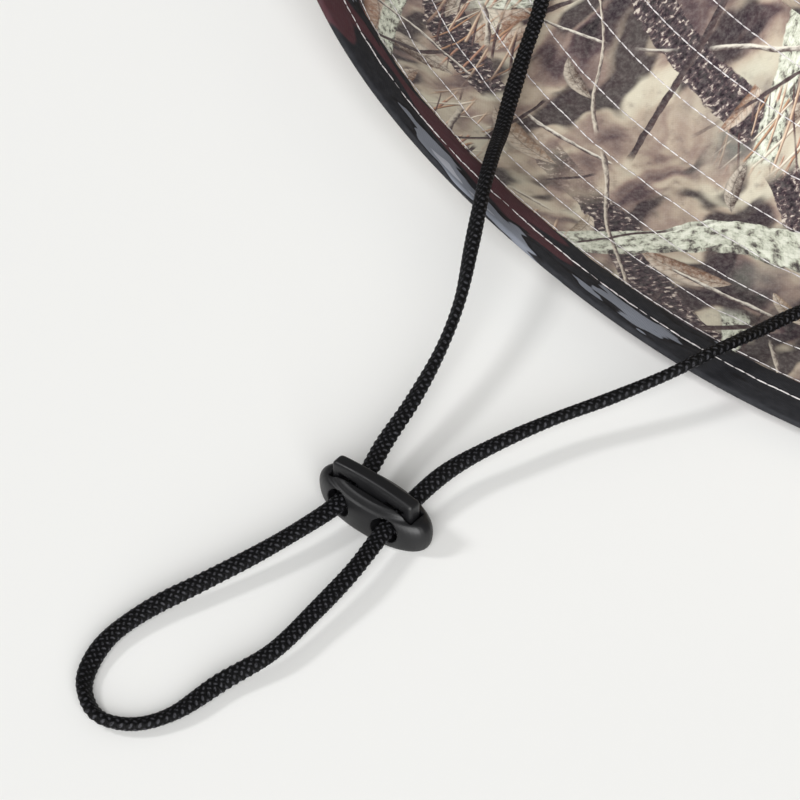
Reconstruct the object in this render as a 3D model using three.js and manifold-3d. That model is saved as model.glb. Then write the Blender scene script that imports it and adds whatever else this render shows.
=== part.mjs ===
import * as THREE from 'three';
import { mergeVertices } from 'three/addons/utils/BufferGeometryUtils.js';
import Module from 'manifold-3d';

// A cloth bush hat that lies on its brim, crown up, with a cord chin strap and its cord lock.
// Millimetres, +Z up. The front of the hat points along -Y; the origin is the middle of its base.

const gap = 0.3; // between pieces that touch
const segments = 64; // round the hat

// The crown's outer face at its foot is an oval, a little squarer than an ellipse.
const head = { halfLength: 100, halfWidth: 84, squareness: 2.3 };

const brim = {
  width: 70.3, // along the cloth, from the crown to the edge
  thickness: 1.5,
  valley: 36.6, // how far out it touches the surface
  seamHeight: 15.2,
  straightFrom: 0.6, // share of each slope that is curved, from the valley
  pressed: 0.35, // how much of the rounded valley lies flat on the surface
};

// The brim's waves. angle is round the hat, with 0 at +X and -90 at the front; lift is how far the
// edge stands above the surface; reach is how far it is drawn out or in from the plain width.
const brimSections = [
  { angle: -125, lift: 17, reach: 1.4 },
  { angle: -102, lift: 11, reach: -1.7 },
  { angle: -88, lift: 7.8, reach: -2.1 },
  { angle: -72, lift: 2.9, reach: -2.8 },
  { angle: -52, lift: 3, reach: 3 },
  { angle: -30, lift: 5, reach: 1.5 },
  { angle: 0, lift: 11, reach: 0.2 },
  { angle: 30, lift: 14.5, reach: -0.4 },
  { angle: 60, lift: 9, reach: 0 },
  { angle: 90, lift: 4.4, reach: -2 },
  { angle: 120, lift: 4, reach: -1 },
  { angle: 150, lift: 8, reach: 0 },
  { angle: 180, lift: 15, reach: 2 },
  { angle: 205, lift: 19, reach: 2.5 },
];

const binding = { width: 9.3, wall: 0.7, round: 0.7, slack: 0.35 };

const crown = {
  wall: 2,
  height: 86, // from the brim to the top seam
  taper: 0.05, // how much narrower the top is
  shoulder: 3.5, // how far the last of the wall turns in to the top seam
  bulge: 2, // outward, half way up
  dome: 9, // rise of the top above its seam
  sag: 3, // how far two sides of the top hang below the dome, and the two between stand above it
  sagTurn: 35,
  topThickness: 1.8,
};

// Soft dents in the crown: place round it, share of its height, half width in degrees, depth.
const crownDents = [
  { angle: -60, height: 0.66, spread: 24, depth: 6 },
  { angle: 35, height: 0.5, spread: 20, depth: 4.5 },
  { angle: 118, height: 0.62, spread: 26, depth: 7 },
  { angle: 200, height: 0.56, spread: 22, depth: 5 },
];
const dentHeight = 0.26; // half the height of a dent, as a share of the crown's height

// Waves of the top seam: times round, height and phase in degrees.
const seamWaves = [
  { times: 2, height: 2.2, phase: 20 },
  { times: 3, height: 1.5, phase: 75 },
];

const cord = { radius: 1.2, sides: 8, steps: 78 };

// The cord's whole way: out of the crown's foot, over the brim, through the lock, round the free
// loop, back through the lock and over the brim to the crown's other side.
const cordRoute = [
  [-85.3, 0, 17.6],
  [-89.8, -1.6, 14.7],
  [-94.1, -7.4, 11.8],
  [-96, -16.6, 10.3],
  [-95.2, -28.4, 9.8],
  [-91.4, -43, 9.6],
  [-84.2, -63.5, 9.3],
  [-72.3, -83.2, 8.7],
  [-60.1, -98, 7.3],
  [-49.6, -108, 5.8],
  [-40.9, -118.2, 4.1],
  [-33.6, -129, 3.8],
  [-26.8, -138.4, 4.5],
  [-20.9, -145.9, 6.3],
  [-15.1, -153.1, 10.1],
  [-8.6, -161.1, 12.6],
  [-1.5, -170.1, 11.6],
  [4.4, -178, 9.4],
  [8.9, -186.1, 7.5],
  [12.7, -195.2, 5.8],
  [15.5, -203.6, 4.5],
  [18.4, -210.4, 3.9],
  [19.9, -217.2, 3.9],
  [19.9, -224.3, 3.8],
  [19, -232.7, 3.3],
  [17.4, -242, 2.7],
  [15.8, -250.6, 2.1],
  [15.7, -258.2, 1.6],
  [17.7, -264, 1.3],
  [21.1, -268.1, 1.3],
  [26.3, -270, 1.3],
  [31, -267.3, 1.3],
  [33.5, -261.6, 1.5],
  [33.9, -252.8, 2],
  [34.9, -243.7, 2.7],
  [33.5, -234, 3.3],
  [31.6, -224.8, 3.8],
  [29, -216.6, 3.9],
  [27, -208.6, 3.9],
  [26.2, -200.4, 4.3],
  [27.5, -191.8, 5],
  [29.7, -182.3, 5.4],
  [32.9, -173.6, 6.3],
  [36, -164.5, 7.6],
  [37.4, -155.8, 7.9],
  [37.1, -146.4, 5.5],
  [37.5, -137.5, 4.1],
  [41, -127.4, 3.7],
  [49.1, -115.4, 4.1],
  [61.4, -100, 6],
  [74.2, -83.4, 7.9],
  [84.4, -64.2, 9],
  [91.6, -43.4, 9.4],
  [95.4, -28.4, 9.8],
  [96, -16.6, 10.3],
  [94.1, -7.4, 11.8],
  [89.8, -1.6, 14.7],
  [85.3, 0, 17.6],
];

const lock = {
  place: [23.4, -212.6, 0],
  turn: 7, // degrees, its long axis from +X
  halfLength: 10.5,
  halfDepth: 4.1,
  squareness: 2.1,
  height: 6.6,
  holeAt: 4.45, // each hole from the middle
  holeWidth: 4.6,
  holeBottom: 1.4,
  holeTop: 5.4,
  bridgeHalf: 1.1, // strip across the open base, under the spring
  bridgeTop: 0.9,
};

// Half widths of the lock's body at a few heights, as shares of its greatest.
const lockRings = [
  { height: 0, share: 0.84 },
  { height: 0.7, share: 0.95 },
  { height: 2.6, share: 1 },
  { height: 4.4, share: 0.98 },
  { height: 5.7, share: 0.88 },
  { height: 6.3, share: 0.72 },
  { height: 6.6, share: 0.5 },
];

const button = {
  halfLength: 7.8,
  depth: 2.4,
  bottom: 1.6,
  endTop: 8.3,
  middleTop: 8.9,
  windowInner: 2.6,
  windowOuter: 6.3,
  windowBottom: 2.4,
  windowTop: 6.7,
  notchHalf: 1.4, // room for the spring
  notchTop: 5.6,
};

const radians = THREE.MathUtils.degToRad;

const wasm = await Module();
wasm.setup();

// Positions only, with shared corners merged, no empty faces, and every face turned outward.
function closed(geometry) {
  geometry.deleteAttribute('normal');
  geometry.deleteAttribute('uv');
  geometry.clearGroups();
  const merged = mergeVertices(geometry, 1e-3);
  const position = merged.getAttribute('position');
  const corner = (i) => new THREE.Vector3().fromBufferAttribute(position, i);
  const faces = [];
  let volume = 0;
  for (let i = 0; i < merged.index.count; i += 3) {
    const [a, b, c] = [0, 1, 2].map((k) => merged.index.getX(i + k));
    if (a === b || b === c || c === a) continue;
    faces.push([a, b, c]);
    volume += corner(a).dot(corner(b).cross(corner(c)));
  }
  merged.setIndex(faces.flatMap(([a, b, c]) => (volume > 0 ? [a, b, c] : [a, c, b])));
  return merged;
}

function toManifold(geometry) {
  const shape = closed(geometry);
  return new wasm.Manifold(new wasm.Mesh({
    numProp: 3,
    vertProperties: new Float32Array(shape.getAttribute('position').array),
    triVerts: new Uint32Array(shape.index.array),
  }));
}

// The geometry of base with every tool cut away.
function cut(base, ...tools) {
  const mesh = tools.reduce((left, tool) => left.subtract(toManifold(tool)), toManifold(base)).getMesh();
  const geometry = new THREE.BufferGeometry();
  geometry.setAttribute('position', new THREE.BufferAttribute(new Float32Array(mesh.vertProperties), 3));
  geometry.setIndex(new THREE.BufferAttribute(new Uint32Array(mesh.triVerts), 1));
  return geometry;
}

// A ring or disc turned on a lathe and then laid on the hat: place(angle, along, above) says where
// a point goes whose profile is [along, above]. A ring's profile is kept off the axis by ringOffset.
const ringOffset = 200;

function laid(profile, place, offset = ringOffset) {
  const points = profile.map(([along, above]) => new THREE.Vector2(along + offset, above));
  const geometry = new THREE.LatheGeometry(points, segments);
  const position = geometry.getAttribute('position');
  for (let i = 0; i < position.count; i++) {
    const [x, y, z] = [position.getX(i), position.getY(i), position.getZ(i)];
    const angle = THREE.MathUtils.radToDeg(Math.atan2(x, z));
    position.setXYZ(i, ...place(angle, Math.hypot(x, z) - offset, y));
  }
  return closed(geometry);
}

const polar = (angle, radius, height) => [
  radius * Math.cos(radians(angle)),
  radius * Math.sin(radians(angle)),
  height,
];

// Radius of a rounded oval at an angle, for half sizes along X and along Y.
function ovalRadius(angle, halfX, halfY, squareness) {
  const across = Math.abs(Math.cos(radians(angle))) / halfX;
  const along = Math.abs(Math.sin(radians(angle))) / halfY;
  return (across ** squareness + along ** squareness) ** (-1 / squareness);
}

const headRadius = (angle) => ovalRadius(angle, head.halfWidth, head.halfLength, head.squareness);

// A column of a table of sections, smoothly carried round the hat.
function roundTable(table, column) {
  const rows = table
    .map((row) => ({ at: ((row.angle % 360) + 360) % 360, value: row[column] }))
    .sort((a, b) => a.at - b.at);
  const count = rows.length;
  const row = (i) => ({
    at: rows[((i % count) + count) % count].at + 360 * Math.floor(i / count),
    value: rows[((i % count) + count) % count].value,
  });
  const slope = (i) => (row(i + 1).value - row(i - 1).value) / (row(i + 1).at - row(i - 1).at);
  return (angle) => {
    const at = ((angle % 360) + 360) % 360;
    const i = rows.findLastIndex((r) => r.at <= at);
    const span = row(i + 1).at - row(i).at;
    const s = (at - row(i).at) / span;
    return (2 * s ** 3 - 3 * s ** 2 + 1) * row(i).value
      + (s ** 3 - 2 * s ** 2 + s) * span * slope(i)
      + (-2 * s ** 3 + 3 * s ** 2) * row(i + 1).value
      + (s ** 3 - s ** 2) * span * slope(i + 1);
  };
}

const brimLift = roundTable(brimSections, 'lift');
const brimReach = roundTable(brimSections, 'reach');

// Rises from 0 to 1 as v does, curved at first and straight after brim.straightFrom.
function sweep(v) {
  const bend = brim.straightFrom;
  const rate = 1 / (2 * bend - bend ** 2);
  return v < bend ? rate * v ** 2 : rate * bend ** 2 + 2 * rate * bend * (v - bend);
}

// The brim's underside along one radius: height at a distance from the crown along the cloth.
function brimHeight(angle, along) {
  const inner = brim.seamHeight * sweep(1 - along / brim.valley);
  const outer = brimLift(angle) * sweep((along - brim.valley) / (brim.width - brim.valley));
  return Math.max((along < brim.valley ? inner : outer) - brim.pressed, 0);
}

// A point of the brim, above its underside by a distance square to the cloth. along runs from the
// crown's foot; the stretch past the valley is drawn out or in by the section's reach.
const lineStep = 0.5;

function onBrim(angle, along, above) {
  const stretch = 1 + brimReach(angle) / (brim.width - brim.valley);
  if (along <= 0) return polar(angle, headRadius(angle) + along, brimHeight(angle, 0) + above);
  let radius = headRadius(angle);
  const count = Math.ceil(along / lineStep);
  for (let i = 0; i < count; i++) {
    const [from, to] = [(along * i) / count, (along * (i + 1)) / count];
    const run = (to - from) * (from < brim.valley ? 1 : stretch);
    const rise = brimHeight(angle, to) - brimHeight(angle, from);
    radius += Math.sqrt(Math.max(run ** 2 - rise ** 2, 0));
  }
  const half = lineStep / 2;
  const slope = Math.asin(
    (brimHeight(angle, along + half) - brimHeight(angle, along - half)) / lineStep);
  return polar(
    angle,
    radius - above * Math.sin(slope),
    brimHeight(angle, along) + above * Math.cos(slope));
}

function brimSolid() {
  const edge = brim.width - binding.wall - binding.slack;
  const stations = [-crown.wall, 0, 6, 12, 18, 24, 30, 36, 42, 49, 56, 63, edge];
  const top = stations.map((along) => [along, brim.thickness]);
  const underside = stations.map((along) => [along, 0]).reverse();
  return laid([...top, ...underside, top[0]], onBrim);
}

function bindingSolid() {
  const { width, wall, round, slack } = binding;
  const over = brim.thickness + slack + wall;
  const under = -slack - wall;
  // Each row is [distance in from the edge, height above the brim's underside].
  const section = [
    [width, over],
    [round, over],
    [0, over - round],
    [0, under + round],
    [round, under],
    [width, under],
    [width, -slack],
    [wall, -slack],
    [wall, brim.thickness + slack],
    [width, brim.thickness + slack],
    [width, over],
  ];
  return laid(section.map(([inward, above]) => [brim.width - inward, above]), onBrim);
}

const crownFoot = brim.seamHeight - brim.pressed + brim.thickness + gap;

function seamWave(angle) {
  return seamWaves.reduce(
    (sum, wave) => sum + wave.height * Math.sin(radians(wave.times * angle + wave.phase)), 0);
}

// How far the crown is pushed in at an angle and a share of its height.
function dent(angle, share) {
  return crownDents.reduce((sum, row) => {
    const turn = (((angle - row.angle) % 360) + 540) % 360 - 180;
    const away = (turn / row.spread) ** 2 + ((share - row.height) / dentHeight) ** 2;
    return sum + row.depth * Math.exp(-away);
  }, 0);
}

// A point of the crown's side: share of its height, and distance in from its outer face.
function onCrownSide(angle, share, inward) {
  const radius = headRadius(angle) * (1 - crown.taper * share) - crown.shoulder * share ** 8
    + crown.bulge * Math.sin(Math.PI * share) - dent(angle, share) * Math.min(share / dentHeight, 1);
  const top = crownFoot + crown.height + seamWave(angle);
  return polar(angle, radius - inward, crownFoot + (top - crownFoot) * share);
}

function crownSideSolid() {
  const shares = [0, 0.12, 0.28, 0.44, 0.6, 0.75, 0.88, 0.95, 1];
  const outside = shares.map((share) => [0, share]);
  const inside = shares.map((share) => [-crown.wall, share]).reverse();
  return laid([...outside, ...inside, outside[0]],
    (angle, inward, share) => onCrownSide(angle, share, -inward));
}

// A point of the crown's top: share of the way from its middle to its seam, and height above it.
function onCrownTop(angle, share, above) {
  const [x, y, rim] = onCrownSide(angle, 1, 0);
  const level = crownFoot + crown.height;
  const rise = (crown.dome + crown.sag * Math.cos(radians(2 * angle + crown.sagTurn)) * share ** 2)
    * (1 - share ** 2);
  return [x * share, y * share, level + gap + (rim - level) * share ** 3 + rise + above];
}

function crownTopSolid() {
  const shares = [0, 0.25, 0.5, 0.7, 0.86, 0.96, 1];
  const over = shares.map((share) => [share, crown.topThickness]);
  const under = shares.map((share) => [share, 0]).reverse();
  return laid([...over, ...under], onCrownTop, 0);
}

function cordSolid() {
  const points = cordRoute.map((point) => new THREE.Vector3(...point));
  const section = new THREE.Shape();
  for (let i = 0; i <= cord.sides; i++) {
    const turn = (i / cord.sides) * 2 * Math.PI;
    const corner = [cord.radius * Math.cos(turn), cord.radius * Math.sin(turn)];
    if (i === 0) section.moveTo(...corner);
    else section.lineTo(...corner);
  }
  return closed(new THREE.ExtrudeGeometry(section, {
    steps: cord.steps,
    extrudePath: new THREE.CatmullRomCurve3(points, false, 'catmullrom', 0.5),
  }));
}

// A box between two corners.
function block(low, high) {
  const size = high.map((value, i) => value - low[i]);
  const middle = high.map((value, i) => (value + low[i]) / 2);
  return new THREE.BoxGeometry(...size).translate(...middle);
}

// A hole's tool along Y with round ends left and right, centred at x.
function holeTool(x) {
  const radius = (lock.holeTop - lock.holeBottom) / 2;
  const side = lock.holeWidth / 2 - radius;
  const outline = new THREE.Shape();
  outline.absarc(x + side, lock.holeBottom + radius, radius, -Math.PI / 2, Math.PI / 2, false);
  outline.absarc(x - side, lock.holeBottom + radius, radius, Math.PI / 2, 1.5 * Math.PI, false);
  const depth = 2 * lock.halfDepth + 4;
  return new THREE.ExtrudeGeometry(outline, { depth, bevelEnabled: false, curveSegments: 6 })
    .rotateX(Math.PI / 2)
    .translate(0, depth / 2, 0);
}

function lockBodySolid() {
  const points = [
    new THREE.Vector2(0, 0),
    ...lockRings.map((ring) => new THREE.Vector2(ring.share, ring.height)),
    new THREE.Vector2(0, lock.height),
  ];
  const body = new THREE.LatheGeometry(points, 28);
  const position = body.getAttribute('position');
  for (let i = 0; i < position.count; i++) {
    const [x, y, z] = [position.getX(i), position.getY(i), position.getZ(i)];
    const angle = THREE.MathUtils.radToDeg(Math.atan2(x, z));
    const radius = ovalRadius(angle, lock.halfLength, lock.halfDepth, lock.squareness);
    position.setXYZ(i, ...polar(angle, radius * Math.hypot(x, z), y));
  }
  const halfX = button.halfLength + gap;
  const halfY = button.depth / 2 + gap;
  const shaft = block([-halfX, -halfY, lock.bridgeTop], [halfX, halfY, lock.height + 1]);
  const outlets = [-1, 1].map((side) => {
    const inner = side * lock.bridgeHalf;
    const [low, high] = [Math.min(inner, side * halfX), Math.max(inner, side * halfX)];
    return block([low, -halfY, -1], [high, halfY, lock.bridgeTop + 1]);
  });
  return cut(body, shaft, ...outlets, holeTool(-lock.holeAt), holeTool(lock.holeAt));
}

function buttonSolid() {
  const b = button;
  const outline = new THREE.Shape();
  outline.moveTo(-b.halfLength, b.bottom);
  outline.lineTo(-b.notchHalf, b.bottom);
  outline.lineTo(-b.notchHalf, b.notchTop);
  outline.lineTo(b.notchHalf, b.notchTop);
  outline.lineTo(b.notchHalf, b.bottom);
  outline.lineTo(b.halfLength, b.bottom);
  outline.lineTo(b.halfLength, b.endTop);
  outline.quadraticCurveTo(0, 2 * b.middleTop - b.endTop, -b.halfLength, b.endTop);
  outline.closePath();
  for (const side of [-1, 1]) {
    const window = new THREE.Path();
    window.moveTo(side * b.windowInner, b.windowBottom);
    window.lineTo(side * b.windowOuter, b.windowBottom);
    window.lineTo(side * b.windowOuter, b.windowTop);
    window.lineTo(side * b.windowInner, b.windowTop);
    window.closePath();
    outline.holes.push(window);
  }
  return closed(new THREE.ExtrudeGeometry(outline, { depth: b.depth, bevelEnabled: false, curveSegments: 8 })
    .rotateX(Math.PI / 2)
    .translate(0, b.depth / 2, 0));
}

function piece(name, geometry, color, roughness) {
  const material = new THREE.MeshStandardMaterial({ color, roughness, metalness: 0 });
  const mesh = new THREE.Mesh(geometry, material);
  mesh.name = name;
  return mesh;
}

const printedCloth = '#8b8170';
const bindingTape = '#333436';
const blackCord = '#141416';
const blackPlastic = '#17181a';

const cordLock = new THREE.Group();
cordLock.position.set(...lock.place);
cordLock.rotation.z = radians(lock.turn);
cordLock.add(
  piece('lock_body', lockBodySolid(), blackPlastic, 0.42),
  piece('lock_button', buttonSolid(), blackPlastic, 0.38),
);

const hat = new THREE.Group();
hat.add(
  piece('brim', brimSolid(), printedCloth, 0.9),
  piece('brim_binding', bindingSolid(), bindingTape, 0.75),
  piece('crown_side', crownSideSolid(), printedCloth, 0.9),
  piece('crown_top', crownTopSolid(), printedCloth, 0.9),
  piece('chin_cord', cordSolid(), blackCord, 0.7),
  cordLock,
);

export default hat;
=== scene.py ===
import math

import bpy
import numpy as np
from mathutils import Matrix, Vector


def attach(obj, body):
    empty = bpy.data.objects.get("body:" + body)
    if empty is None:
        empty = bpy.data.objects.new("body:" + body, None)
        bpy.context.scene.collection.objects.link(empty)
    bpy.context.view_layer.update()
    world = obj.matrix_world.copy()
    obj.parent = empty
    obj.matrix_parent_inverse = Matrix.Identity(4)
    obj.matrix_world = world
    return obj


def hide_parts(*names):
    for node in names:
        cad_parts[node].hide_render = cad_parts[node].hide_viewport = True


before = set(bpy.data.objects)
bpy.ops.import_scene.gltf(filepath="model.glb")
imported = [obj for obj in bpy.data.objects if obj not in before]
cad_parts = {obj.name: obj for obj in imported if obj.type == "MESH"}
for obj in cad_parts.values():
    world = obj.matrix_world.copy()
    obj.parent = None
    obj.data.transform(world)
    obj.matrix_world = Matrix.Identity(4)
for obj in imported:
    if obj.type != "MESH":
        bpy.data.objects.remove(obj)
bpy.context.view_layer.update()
mm = 0.001


def makeCamera(look):
    azimuth, elevation = math.radians(look["azimuth"]), math.radians(look["elevation"])
    forward = Vector((
        -math.sin(azimuth) * math.cos(elevation),
        math.cos(azimuth) * math.cos(elevation),
        -math.sin(elevation),
    ))
    right = Vector((math.cos(azimuth), math.sin(azimuth), 0))
    up = right.cross(forward)
    camera = bpy.data.objects.new("camera", bpy.data.cameras.new("camera"))
    bpy.context.scene.collection.objects.link(camera)
    camera.data.lens = look["lens"]
    camera.data.clip_start, camera.data.clip_end = 0.05, 20
    place = Vector(look["at"]) - forward * look["distance"] + up * look["rise"]
    turn = Matrix((right, up, -forward)).transposed().to_4x4()
    camera.matrix_world = Matrix.Translation(place) @ turn
    bpy.context.scene.camera = camera


makeCamera({
    "azimuth": 47.49,
    "elevation": 45,
    "at": (0.02274, -0.20717, 0),
    "distance": 1.15,
    "rise": 0.01497,  # the picture's middle above that point
    "lens": 345.7,
})


# shader helpers


class Flow:  # a shader value that can be added, multiplied and so on
    def __init__(self, tree, socket):
        self.tree, self.socket = tree, socket

    def math(self, operation, *others):
        node = self.tree.nodes.new("ShaderNodeMath")
        node.operation = operation
        for slot, value in zip(node.inputs, (self, *others)):
            feed(slot, value)
        return flow(node)

    def __add__(self, other):
        return self.math("ADD", other)

    def __sub__(self, other):
        return self.math("SUBTRACT", other)

    def __mul__(self, other):
        return self.math("MULTIPLY", other)

    def __truediv__(self, other):
        return self.math("DIVIDE", other)

    def __abs__(self):
        return self.math("ABSOLUTE")

    def most(self, other):
        return self.math("MAXIMUM", other)

    def ramped(self, low, high, start=0.0, end=1.0):
        sockets = {"Value": self, "From Min": low, "From Max": high, "To Min": start, "To Max": end}
        return flow(nodeIn(self.tree, "MapRange", sockets, interpolation_type="SMOOTHSTEP"))


def feed(slot, value):  # links a Flow to a socket, or sets the socket's own value
    if isinstance(value, Flow):
        value.tree.links.new(value.socket, slot)
    else:
        slot.default_value = value


def nodeIn(tree, kind, inputs=None, **settings):
    node = tree.nodes.new("ShaderNode" + kind)
    for key, value in settings.items():
        setattr(node, key, value)
    for key, value in (inputs or {}).items():
        feed(node.inputs[key], value)
    return node


def flow(node, output=0):
    return Flow(node.id_data, node.outputs[output])


def linear(code):  # an sRGB hex colour as linear RGBA
    parts = [int(code[i : i + 2], 16) / 255 for i in (1, 3, 5)]
    return (*[p / 12.92 if p < 0.04045 else ((p + 0.055) / 1.055) ** 2.4 for p in parts], 1)


def mixed(tree, factor, first, second):  # a Mix node's colours are its sockets 6 and 7
    return flow(nodeIn(tree, "Mix", {0: factor, 6: first, 7: second}, data_type="RGBA"), 2)


def ramp(tree, factor, stops):
    node = nodeIn(tree, "ValToRGB", {"Fac": factor})
    while len(node.color_ramp.elements) < len(stops):
        node.color_ramp.elements.new(0.5)
    for element, (place, code) in zip(node.color_ramp.elements, stops):
        element.position, element.color = place, linear(code)
    return flow(node)


def combined(tree, x, y):
    return flow(nodeIn(tree, "CombineXYZ", {"X": x, "Y": y}))


def noise(tree, vector, scale, detail=2.0, roughness=0.5):
    sockets = {"Vector": vector, "Scale": scale, "Detail": detail, "Roughness": roughness}
    return flow(nodeIn(tree, "TexNoise", sockets))


def flatNoise(tree, x, y, detail=2.0, roughness=0.5):  # soft patches, one unit of x and y to a patch
    return noise(tree, combined(tree, x, y), 1.0, detail, roughness)


def chance(tree, value):
    return flow(nodeIn(tree, "TexWhiteNoise", {"W": value}, noise_dimensions="1D"))


def newGroup(name, inputs, outputs):
    tree = bpy.data.node_groups.new(name, "ShaderNodeTree")
    for way, sockets in (("INPUT", inputs), ("OUTPUT", outputs)):
        for label, kind in sockets.items():
            tree.interface.new_socket(label, in_out=way, socket_type="NodeSocket" + kind)
    given, result = tree.nodes.new("NodeGroupInput"), tree.nodes.new("NodeGroupOutput")
    return tree, {label: flow(given, label) for label in inputs}, result


def grouped(tree, group, output, **inputs):
    return flow(nodeIn(tree, "Group", inputs, node_tree=group), output)


def newMaterial(name):
    material = bpy.data.materials.new(name)
    material.use_nodes = True
    tree = material.node_tree
    return material, tree, tree.nodes["Principled BSDF"]


def setShader(shader, **values):
    for label, value in values.items():
        feed(shader.inputs[label.replace("_", " ")], value)


def bump(tree, height, distance, strength):
    sockets = {"Height": height, "Distance": distance, "Strength": strength}
    return flow(nodeIn(tree, "Bump", sockets))


def clothPlace(tree):  # the piece's cloth coordinates, in millimetres
    uv = nodeIn(tree, "UVMap", uv_map="cloth")
    parts = nodeIn(tree, "SeparateXYZ", {"Vector": flow(uv)})
    return flow(parts, 0) * 1000, flow(parts, 1) * 1000


def objectPlace(tree):  # a place on the piece, in metres
    return flow(nodeIn(tree, "TexCoord"), 3)


# mesh helpers


def link(obj, material, body="hat"):
    bpy.context.scene.collection.objects.link(obj)
    obj.data.shade_smooth()
    obj.data.materials.append(material)
    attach(obj, body)
    return obj


def gridObject(name, points, uv, material, flip=True, wrapRows=True):  # each row closes on itself
    rows, columns = points.shape[:2]
    i, j = np.meshgrid(np.arange(rows if wrapRows else rows - 1), np.arange(columns), indexing="ij")
    i, j = i.ravel(), j.ravel()
    steps = [(0, 0), (1, 0), (1, 1), (0, 1)][:: -1 if flip else 1]
    faces = np.stack([(i + a) % rows * columns + (j + b) % columns for a, b in steps], 1)
    mesh = bpy.data.meshes.new(name)
    mesh.from_pydata(points.reshape(-1, 3).tolist(), [], faces.tolist())
    corners = np.stack([uv[i + a, j + b] for a, b in steps], 1)
    mesh.uv_layers.new(name="cloth").data.foreach_set("uv", corners.astype(np.float32).ravel())
    return link(bpy.data.objects.new(name, mesh), material)


def clothFromAbove(points, start=(0, 0)):  # cloth coordinates as seen from above, closed both ways
    uv = points[..., :2] * mm + start
    uv = np.concatenate([uv, uv[:, :1]], 1)
    return np.concatenate([uv, uv[:1]])


def clothGrid(around, across):  # cloth coordinates from the run round the piece and the run across it
    return np.stack(np.meshgrid(around, across, indexing="ij"), -1) * mm


def ovalRadius(angle, halfX, halfY, squareness):  # squareness 2 is an ellipse
    x, y = np.abs(np.cos(angle)) / halfX, np.abs(np.sin(angle)) / halfY
    return (x**squareness + y**squareness) ** (-1 / squareness)


def runAlong(points):  # how far along its line each point lies
    return np.r_[0, np.cumsum(np.linalg.norm(np.diff(points, axis=0), axis=1))]


def placeAt(far, run, points):  # the points at given runs along a line
    return np.stack([np.interp(far, run, points[:, k]) for k in range(3)], -1)


def smoothLine(points, step):  # a Catmull-Rom curve through the points, in even steps
    ends = np.vstack([2 * points[0] - points[1], points, 2 * points[-1] - points[-2]])
    t = np.linspace(0, 1, 40, endpoint=False)[:, None]
    pieces = [
        0.5 * (2 * b + (c - a) * t + (2 * a - 5 * b + 4 * c - d) * t**2
               + (3 * b - a - 3 * c + d) * t**3)
        for a, b, c, d in zip(ends, ends[1:], ends[2:], ends[3:])
    ]
    line = np.vstack([*pieces, points[-1:]])
    run = runAlong(line)
    even = np.linspace(0, run[-1], int(run[-1] / step) + 1)
    return placeAt(even, run, line), even


def ripple(seed, around, across, count, low, high):  # soft random waves; around is a share of a turn
    random = np.random.default_rng(seed)
    total = 0
    for _ in range(count):
        times, pitch = random.integers(low, high), random.uniform(-1, 1) * high / 900
        start = random.uniform(0, 2 * math.pi)
        total = total + np.sin(2 * math.pi * (times * around + pitch * across) + start)
    return total / math.sqrt(count)


# the chin cord

cordLook = {
    "width": 3.06,
    "thick": 1.85,
    "squareness": 2.3,  # of its flat section
    "sides": 38,
    "ringStep": 0.25,
    "carriers": 5,  # strands each way round
    "lead": 0.62,  # half the way along the cord from one strand to the next
    "relief": 0.3,
    "turnBlur": 29,  # rings over which a turn is spread
    "lowest": 0.05,  # pressed flat on the table
    "length": 0.62,  # in metres
}

cordRoute = np.array([
    [-85.3, 0, 17.6], [-89.8, -1.6, 14.7], [-94.1, -7.4, 11.8], [-96, -16.6, 10.3],
    [-95.2, -28.4, 9.8], [-91.4, -43, 9.6], [-84.2, -63.5, 9.3], [-72.3, -83.2, 8.7],
    [-60.1, -98, 7.3], [-49.6, -108, 5.8], [-40.9, -118.2, 4.1], [-33.6, -129, 3.8],
    [-26.8, -138.4, 4.5], [-20.9, -145.9, 6.3], [-15.1, -153.1, 10.1], [-8.6, -161.1, 12.6],
    [-1.5, -170.1, 11.6], [4.4, -178, 9.4], [8.9, -186.1, 7.5], [12.7, -195.2, 5.8],
    [15.5, -203.6, 4.5], [18.4, -210.4, 3.9], [19.9, -217.2, 3.9], [19.9, -224.3, 3.8],
    [19, -232.7, 3.3], [17.4, -242, 2.7], [15.8, -250.6, 2.1], [15.7, -258.2, 1.6],
    [17.7, -264, 1.3], [21.1, -268.1, 1.3], [26.3, -270, 1.3], [31, -267.3, 1.3],
    [33.5, -261.6, 1.5], [33.9, -252.8, 2], [34.9, -243.7, 2.7], [33.5, -234, 3.3],
    [31.6, -224.8, 3.8], [29, -216.6, 3.9], [27, -208.6, 3.9], [26.2, -200.4, 4.3],
    [27.5, -191.8, 5], [29.7, -182.3, 5.4], [32.9, -173.6, 6.3], [36, -164.5, 7.6],
    [37.4, -155.8, 7.9], [37.1, -146.4, 5.5], [37.5, -137.5, 4.1], [41, -127.4, 3.7],
    [49.1, -115.4, 4.1], [61.4, -100, 6], [74.2, -83.4, 7.9], [84.4, -64.2, 9],
    [91.6, -43.4, 9.4], [95.4, -28.4, 9.8], [96, -16.6, 10.3], [94.1, -7.4, 11.8],
    [89.8, -1.6, 14.7], [85.3, 0, 17.6],
])

# How the flat cord is turned, in degrees, at points of its route.
cordTurns = np.array([
    [0, 0], [5, 15], [8, -12], [10, -28], [14, -34], [16, -48], [17, -68], [18, -48], [19, -32],
    [20, -14], [22, 4], [25, 9], [27, 10], [28, 30], [29, 47], [30, 34], [31, 12], [32, 14],
    [33, -18], [34, 8], [35, -9], [36, 5], [38, 0], [40, 6], [41, 28], [42, 34], [43, 43],
    [45, 22], [50, -8], [57, 0],
])


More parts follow.
